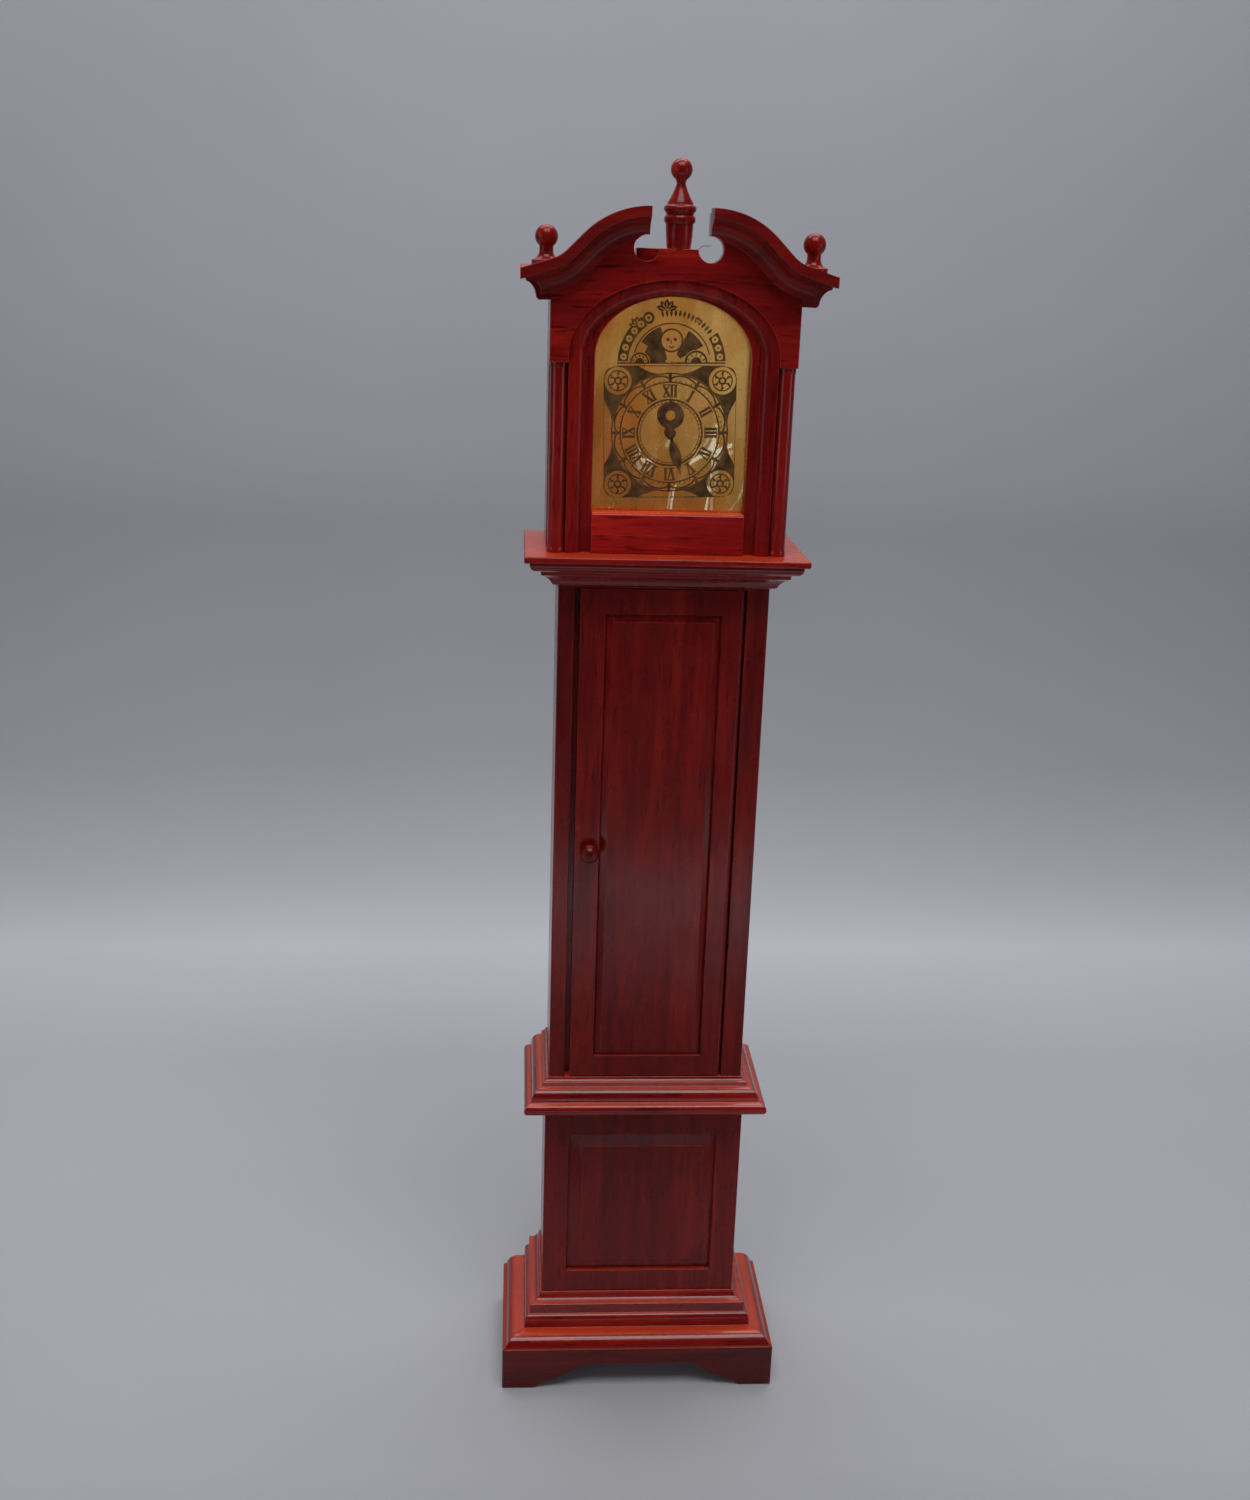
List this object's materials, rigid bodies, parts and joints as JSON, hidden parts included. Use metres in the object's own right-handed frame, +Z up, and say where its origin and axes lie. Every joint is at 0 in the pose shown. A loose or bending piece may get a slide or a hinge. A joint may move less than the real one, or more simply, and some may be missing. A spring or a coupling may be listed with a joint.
{
  "type": "miniature longcase clock",
  "caption": "Doll's-house longcase clock with an arched brass dial, turning hands, hinged trunk door, swinging pendulum, scrolled pediment, finials and a stepped plinth on bracket feet.",
  "frame": {"origin": "centre of the base's rectangle, on the surface the clock stands on", "axes": "+Z up, the dial faces -Y, +X to the right of someone facing the dial"},
  "size_m": [0.0442, 0.0236, 0.1905],
  "materials": {
    "mahogany": "gloss lacquer over red mahogany stain",
    "dial_brass": "polished thin sheet with dark etched marks",
    "brass": "polished",
    "hand_dark": "darkened sheet"
  },
  "bodies": {
    "case": {"base_floor": "mahogany", "base_front_panel": "mahogany", "base_moulding_front": "mahogany", "base_moulding_left": "mahogany", "base_moulding_right": "mahogany", "base_side_left": "mahogany", "base_side_right": "mahogany", "case_back": "mahogany", "column_left": "mahogany", "column_right": "mahogany", "cornice_left": "mahogany", "cornice_right": "mahogany", "dial_plate": "dial_brass", "dial_sill": "mahogany", "dial_surround": "mahogany", "finial_block": "mahogany", "finial_centre": "mahogany", "finial_left": "mahogany", "finial_right": "mahogany", "frieze_board": "mahogany", "hand_pin": "hand_dark", "hinge_pin_lower": "brass", "hinge_pin_upper": "brass", "hood_back": "mahogany", "hood_backing": "mahogany", "hood_roof": "mahogany", "hood_shelf": "mahogany", "hood_side_left": "mahogany", "hood_side_right": "mahogany", "neck_moulding_front": "mahogany", "neck_moulding_left": "mahogany", "neck_moulding_right": "mahogany", "pendulum_hook": "brass", "plinth_front": "mahogany", "plinth_left": "mahogany", "plinth_right": "mahogany", "swan_neck_left": "mahogany", "swan_neck_right": "mahogany", "trunk_header": "mahogany", "trunk_side_left": "mahogany", "trunk_side_right": "mahogany", "trunk_stile_left": "mahogany", "trunk_stile_right": "mahogany", "trunk_threshold": "mahogany", "trunk_top_board": "mahogany", "waist_board": "mahogany", "waist_moulding_front": "mahogany", "waist_moulding_left": "mahogany", "waist_moulding_right": "mahogany", "weight_left": "brass", "weight_right": "brass", "weight_wire_left": "brass", "weight_wire_right": "brass"},
    "door": {"trunk_door": "mahogany", "door_knob": "mahogany"},
    "hour_hand": {"hour_hand": "hand_dark"},
    "minute_hand": {"minute_hand": "hand_dark"},
    "pendulum": {"pendulum_rod": "brass", "pendulum_bob": "brass"}
  },
  "joints": [
    {"name": "door_hinge", "type": "hinge", "parent": "case", "child": "door", "pos_m": [0.01105, -0.00428, 0], "axis": [0, 0, 1], "range_deg": [0, 100]},
    {"name": "hour_hand_turn", "type": "hinge", "parent": "case", "child": "hour_hand", "pos_m": [0, -0.00415, 0.15425], "axis": [0, 1, 0], "continuous": true},
    {"name": "minute_hand_turn", "type": "hinge", "parent": "case", "child": "minute_hand", "pos_m": [0, -0.0046, 0.15425], "axis": [0, 1, 0], "continuous": true},
    {"name": "pendulum_swing", "type": "hinge", "parent": "case", "child": "pendulum", "pos_m": [0, 0.006, 0.1326], "axis": [0, 1, 0], "range_deg": [-6, 6]}
  ]
}
